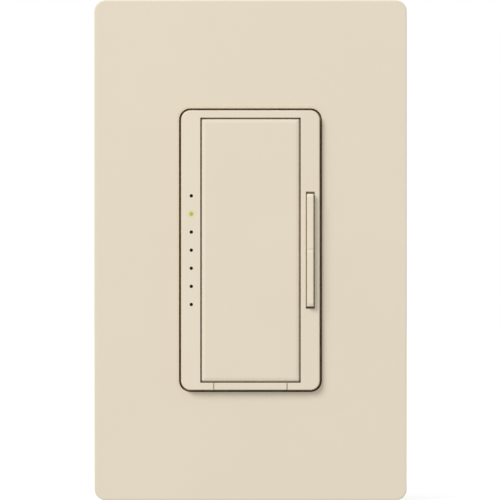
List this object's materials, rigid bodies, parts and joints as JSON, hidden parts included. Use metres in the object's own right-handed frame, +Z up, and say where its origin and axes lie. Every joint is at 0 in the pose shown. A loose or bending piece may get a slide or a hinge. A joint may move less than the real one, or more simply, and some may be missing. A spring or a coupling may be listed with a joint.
{
  "type": "wall dimmer switch",
  "caption": "Flush wall-box dimmer with a tall tap paddle, slim raise/lower rocker, column of level lights, pull-out service switch and a plain screwless wallplate in almond plastic.",
  "frame": {"origin": "middle of the wallplate on the wall's surface, level with the yoke's back", "axes": "+X to the right seen from the room, +Y into the wall, +Z up"},
  "size_m": [0.0746, 0.0409, 0.1194],
  "materials": {
    "almond_plastic": "satin moulded almond plastic",
    "adapter_plastic": "matte moulded almond plastic",
    "black_plastic": "matte black moulding",
    "clear_plastic": "smoky clear moulding",
    "white_plastic": "matte white moulding",
    "lit_light": "yellow-green light, lit",
    "aluminium": "brushed bare aluminium",
    "zinc_steel": "bright zinc plate",
    "painted_screw": "steel painted almond",
    "brass": "bright brass",
    "green_screw": "green passivated steel",
    "fibre": "raw fibre board",
    "board_green": "solder-masked glass epoxy",
    "copper_wire": "enamelled copper wire",
    "ferrite": "coated powdered-iron ring",
    "capacitor_blue": "dipped epoxy",
    "thermal_grey": "grey filled silicone"
  },
  "bodies": {
    "dimmer_body": {"wallplate": "almond_plastic", "bezel": "almond_plastic", "plate_adapter": "adapter_plastic", "back_housing": "black_plastic", "triac": "black_plastic", "controller_chip": "black_plastic", "bulk_capacitor": "black_plastic", "paddle_switch_body": "black_plastic", "raise_switch_body": "black_plastic", "lower_switch_body": "black_plastic", "light_pipe": "clear_plastic", "level_light_1": "white_plastic", "level_light_3": "white_plastic", "level_light_4": "white_plastic", "level_light_5": "white_plastic", "level_light_6": "white_plastic", "level_light_7": "white_plastic", "level_light_2": "lit_light", "yoke": "aluminium", "triac_rivet": "aluminium", "device_screw_upper": "zinc_steel", "device_screw_lower": "zinc_steel", "housing_screw_1": "zinc_steel", "housing_screw_2": "zinc_steel", "housing_screw_3": "zinc_steel", "housing_screw_4": "zinc_steel", "paddle_spring": "zinc_steel", "adapter_screw_upper": "painted_screw", "adapter_screw_lower": "painted_screw", "line_contact": "brass", "load_contact": "brass", "terminal_plate_1": "brass", "terminal_plate_2": "brass", "terminal_plate_3": "brass", "terminal_screw_1": "brass", "terminal_screw_2": "brass", "terminal_screw_3": "brass", "ground_screw": "green_screw", "screw_washer_upper": "fibre", "screw_washer_lower": "fibre", "control_board": "board_green", "choke_winding": "copper_wire", "choke_core": "ferrite", "film_capacitor": "capacitor_blue", "varistor": "capacitor_blue", "thermal_pad": "thermal_grey"},
    "paddle": {"tap_paddle": "almond_plastic"},
    "rocker": {"dimming_rocker": "almond_plastic"},
    "service_switch": {"service_switch_tab": "almond_plastic", "bridge_contact": "brass"},
    "paddle_plunger": {"paddle_switch_plunger": "white_plastic"},
    "raise_plunger": {"raise_switch_plunger": "white_plastic"},
    "lower_plunger": {"lower_switch_plunger": "white_plastic"}
  },
  "joints": [
    {"name": "paddle_press", "type": "hinge", "parent": "dimmer_body", "child": "paddle", "pos_m": [0, -0.006, 0.0291], "axis": [1, 0, 0], "range_deg": [0, 0.8], "stiffness_Nm_per_rad": 1, "springref_deg": -2.86, "deforming": ["paddle_spring"]},
    {"name": "rocker_tilt", "type": "hinge", "parent": "dimmer_body", "child": "rocker", "pos_m": [0.01426, -0.0054, 0], "axis": [1, 0, 0], "range_deg": [-2.5, 2.5], "stiffness_Nm_per_rad": 0.15},
    {"name": "service_switch_pull", "type": "slide", "parent": "dimmer_body", "child": "service_switch", "axis": [0, -1, 0], "range_m": [0, 0.004]},
    {"name": "paddle_plunger_press", "type": "slide", "parent": "dimmer_body", "child": "paddle_plunger", "axis": [0, 1, 0], "range_m": [0, 0.0004]},
    {"name": "raise_plunger_press", "type": "slide", "parent": "dimmer_body", "child": "raise_plunger", "axis": [0, 1, 0], "range_m": [-0.00052, 0.00052]},
    {"name": "lower_plunger_press", "type": "slide", "parent": "dimmer_body", "child": "lower_plunger", "axis": [0, 1, 0], "range_m": [-0.00052, 0.00052]}
  ],
  "couplings": [
    {"joint": "paddle_plunger_press", "follows": "paddle_press", "m_per_rad": 0.0275},
    {"joint": "raise_plunger_press", "follows": "rocker_tilt", "m_per_rad": -0.0115},
    {"joint": "lower_plunger_press", "follows": "rocker_tilt", "m_per_rad": 0.0115}
  ]
}
